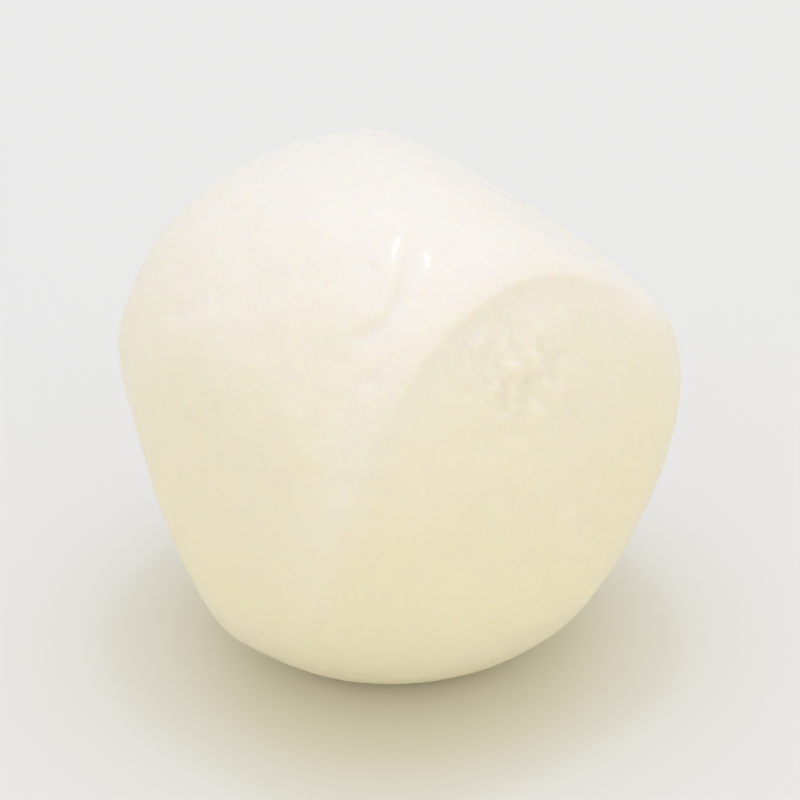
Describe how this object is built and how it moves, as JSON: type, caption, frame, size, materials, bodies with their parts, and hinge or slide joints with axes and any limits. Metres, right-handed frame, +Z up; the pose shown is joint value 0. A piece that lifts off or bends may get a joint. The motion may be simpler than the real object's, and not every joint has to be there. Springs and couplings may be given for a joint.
{
  "type": "mozzarella ball",
  "caption": "Cherry-size ball of fresh mozzarella, one soft uneven lump with a lapped fold down its front, resting on a small flat spot.",
  "frame": {"origin": "middle of the ball's box, in the plane of the flat spot that it rests on", "axes": "+Z up; the front, where the fold runs down, faces -Y; +X to the right as seen from the front, along the ball's greatest width"},
  "size_m": [0.028, 0.0274, 0.0265],
  "materials": {
    "cheese": "moist, smooth, cream-white fresh cheese with a soft shine"
  },
  "bodies": {
    "root": {"mozzarella_ball": "cheese"}
  },
  "joints": []
}
